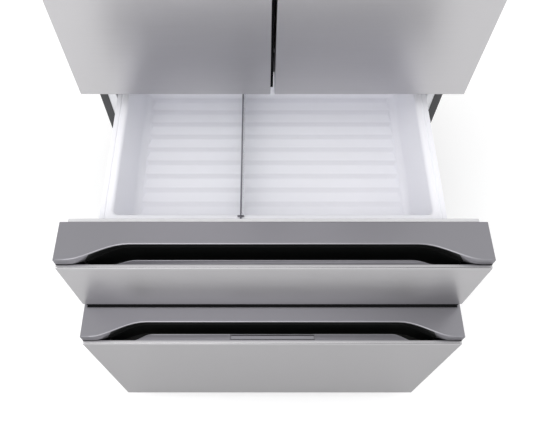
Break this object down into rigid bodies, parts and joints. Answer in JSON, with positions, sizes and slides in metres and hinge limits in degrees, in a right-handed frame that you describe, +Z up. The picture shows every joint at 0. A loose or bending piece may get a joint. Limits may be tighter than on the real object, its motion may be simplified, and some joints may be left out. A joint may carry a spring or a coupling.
{
  "type": "bottom-freezer refrigerator",
  "caption": "Free-standing stainless refrigerator with two upper doors, a middle drawer and a deep freezer drawer with pocket handles, both drawers pulled open.",
  "frame": {"origin": "middle of the floor rectangle that the refrigerator takes with both drawers open, at floor level", "axes": "+Z up, +X to the right of someone who faces the doors, +Y towards the wall; the doors face -Y"},
  "size_m": [0.908, 1.366, 1.78],
  "materials": {
    "stainless": "fine brushed, satin",
    "dark_paint": "satin powder coat",
    "galvanised": "galvanised sheet",
    "zinc_steel": "zinc plated",
    "black_steel": "black enamel",
    "fins": "plain rolled",
    "grey_plastic": "fine grained, metallic grey",
    "black_plastic": "moulded black",
    "white_liner": "vacuum formed",
    "bin_plastic": "moulded",
    "clear_plastic": "clear moulded",
    "shelf_glass": "tempered sheet",
    "gasket_rubber": "extruded",
    "black_rubber": "extruded",
    "foam": "rigid foam"
  },
  "bodies": {
    "cabinet": {"outer_case": "dark_paint", "back_panel": "galvanised", "foam_body": "foam", "fridge_liner": "white_liner", "freezer_liner": "white_liner", "upper_mullion": "dark_paint", "lower_mullion": "dark_paint", "base_pan": "galvanised", "toe_grille": "grey_plastic", "rear_cover": "galvanised", "compressor": "black_steel", "condenser": "fins", "evaporator": "fins", "evaporator_cover": "white_liner", "shelf_upper": "shelf_glass", "crisper_cover": "shelf_glass", "left_top_hinge": "zinc_steel", "left_hinge_cover": "grey_plastic", "left_lower_hinge": "zinc_steel", "left_middle_track": "zinc_steel", "left_freezer_track": "zinc_steel", "right_top_hinge": "zinc_steel", "right_hinge_cover": "grey_plastic", "right_lower_hinge": "zinc_steel", "right_middle_track": "zinc_steel", "right_freezer_track": "zinc_steel"},
    "left_door": {"left_door_skin": "stainless", "left_door_panel": "white_liner", "left_door_gasket": "gasket_rubber", "left_door_bin": "clear_plastic", "door_gap_seal": "black_rubber"},
    "right_door": {"right_door_skin": "stainless", "right_door_panel": "white_liner", "right_door_gasket": "gasket_rubber", "right_door_bin": "clear_plastic"},
    "flip_bar": {"flip_bar": "grey_plastic"},
    "left_crisper": {"left_crisper": "clear_plastic"},
    "right_crisper": {"right_crisper": "clear_plastic"},
    "middle_drawer": {"middle_front_skin": "stainless", "middle_front_cap": "grey_plastic", "middle_pocket": "black_plastic", "middle_front_panel": "white_liner", "middle_gasket": "gasket_rubber", "middle_bin": "bin_plastic", "middle_rail_frame": "zinc_steel"},
    "bin_divider": {"bin_divider": "clear_plastic"},
    "freezer_drawer": {"lower_front_skin": "stainless", "lower_front_cap": "grey_plastic", "lower_pocket": "black_plastic", "lower_front_panel": "white_liner", "lower_gasket": "gasket_rubber", "freezer_bin": "bin_plastic", "freezer_rail_frame": "zinc_steel"},
    "lower_lever": {"lower_lever": "grey_plastic"},
    "freezer_basket": {"freezer_basket": "bin_plastic"},
    "condenser_fan": {"condenser_fan": "black_plastic"},
    "left_foot": {"left_foot": "black_plastic"},
    "right_foot": {"right_foot": "black_plastic"},
    "left_roller": {"left_roller": "black_plastic"},
    "right_roller": {"right_roller": "black_plastic"}
  },
  "joints": [
    {"name": "left_door_hinge", "type": "hinge", "parent": "cabinet", "child": "left_door", "pos_m": [-0.434, -0.12, 1.3145], "axis": [0, 0, -1], "range_deg": [0, 120]},
    {"name": "right_door_hinge", "type": "hinge", "parent": "cabinet", "child": "right_door", "pos_m": [0.434, -0.12, 1.3145], "axis": [0, 0, 1], "range_deg": [0, 120]},
    {"name": "flip_bar_hinge", "type": "hinge", "parent": "left_door", "child": "flip_bar", "pos_m": [-0.034, -0.048, 1.31], "axis": [0, 0, -1], "range_deg": [0, 90]},
    {"name": "left_crisper_slide", "type": "slide", "parent": "cabinet", "child": "left_crisper", "axis": [0, -1, 0], "range_m": [0, 0.25]},
    {"name": "right_crisper_slide", "type": "slide", "parent": "cabinet", "child": "right_crisper", "axis": [0, -1, 0], "range_m": [0, 0.25]},
    {"name": "middle_drawer_slide", "type": "slide", "parent": "cabinet", "child": "middle_drawer", "axis": [0, -1, 0], "range_m": [-0.433, 0.017]},
    {"name": "bin_divider_slide", "type": "slide", "parent": "middle_drawer", "child": "bin_divider", "axis": [1, 0, 0], "range_m": [-0.26, 0.4]},
    {"name": "freezer_drawer_slide", "type": "slide", "parent": "cabinet", "child": "freezer_drawer", "axis": [0, -1, 0], "range_m": [-0.518, 0.022]},
    {"name": "lower_lever_pivot", "type": "hinge", "parent": "freezer_drawer", "child": "lower_lever", "pos_m": [0, -0.6696, 0.584], "axis": [-1, 0, 0], "range_deg": [0, 15], "stiffness_Nm_per_rad": 0.2},
    {"name": "freezer_basket_slide", "type": "slide", "parent": "freezer_drawer", "child": "freezer_basket", "axis": [0, -1, 0], "range_m": [0, 0.15]},
    {"name": "condenser_fan_spin", "type": "hinge", "parent": "cabinet", "child": "condenser_fan", "pos_m": [0, 0.568, 0.133], "axis": [1, 0, 0], "continuous": true},
    {"name": "left_foot_turn", "type": "hinge", "parent": "cabinet", "child": "left_foot", "pos_m": [-0.4, -0.015, 0.02], "axis": [0, 0, 1], "continuous": true},
    {"name": "right_foot_turn", "type": "hinge", "parent": "cabinet", "child": "right_foot", "pos_m": [0.4, -0.015, 0.02], "axis": [0, 0, 1], "continuous": true},
    {"name": "left_roller_turn", "type": "hinge", "parent": "cabinet", "child": "left_roller", "pos_m": [-0.4, 0.635, 0.02], "axis": [1, 0, 0], "continuous": true},
    {"name": "right_roller_turn", "type": "hinge", "parent": "cabinet", "child": "right_roller", "pos_m": [0.4, 0.635, 0.02], "axis": [1, 0, 0], "continuous": true}
  ],
  "couplings": [
    {"joint": "left_crisper_slide", "follows": "left_door_hinge", "m_per_rad": 0.119},
    {"joint": "right_crisper_slide", "follows": "right_door_hinge", "m_per_rad": 0.119}
  ]
}
